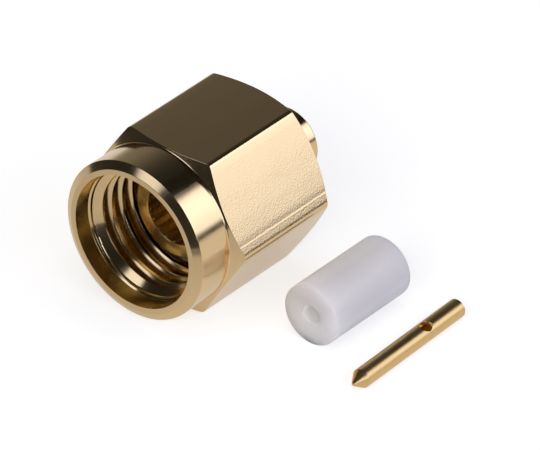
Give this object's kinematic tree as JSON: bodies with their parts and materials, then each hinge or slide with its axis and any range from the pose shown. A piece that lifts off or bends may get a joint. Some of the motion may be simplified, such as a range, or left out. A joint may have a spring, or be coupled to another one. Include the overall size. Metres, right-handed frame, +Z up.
{
  "type": "coaxial cable plug",
  "caption": "Small threaded coaxial plug for semi-rigid cable: hexagonal coupling nut free to spin on the plug body, with its loose insulator and centre contact.",
  "frame": {"origin": "on the connector's axis, in the plane where the outer conductors of two mated connectors meet", "axes": "-Y out of the nut's mouth towards the mating connector, +Y towards the cable, +Z up; the nut lies on one flat of its hexagon"},
  "size_m": [0.016, 0.0111, 0.008],
  "materials": {
    "gold_plate": "bright gold plate over turned brass",
    "spring_bronze": "bright spring bronze",
    "silicone": "matt moulded silicone",
    "ptfe": "waxy, slightly translucent"
  },
  "bodies": {
    "plug": {"plug_body": "gold_plate", "retaining_ring": "spring_bronze", "sealing_gasket": "silicone", "insulator": "ptfe", "contact_pin": "gold_plate"},
    "nut": {"coupling_nut": "gold_plate"}
  },
  "joints": [
    {"name": "nut_spin", "type": "hinge", "parent": "plug", "child": "nut", "pos_m": [0, 0.0013, 0], "axis": [0, 1, 0], "continuous": true}
  ]
}
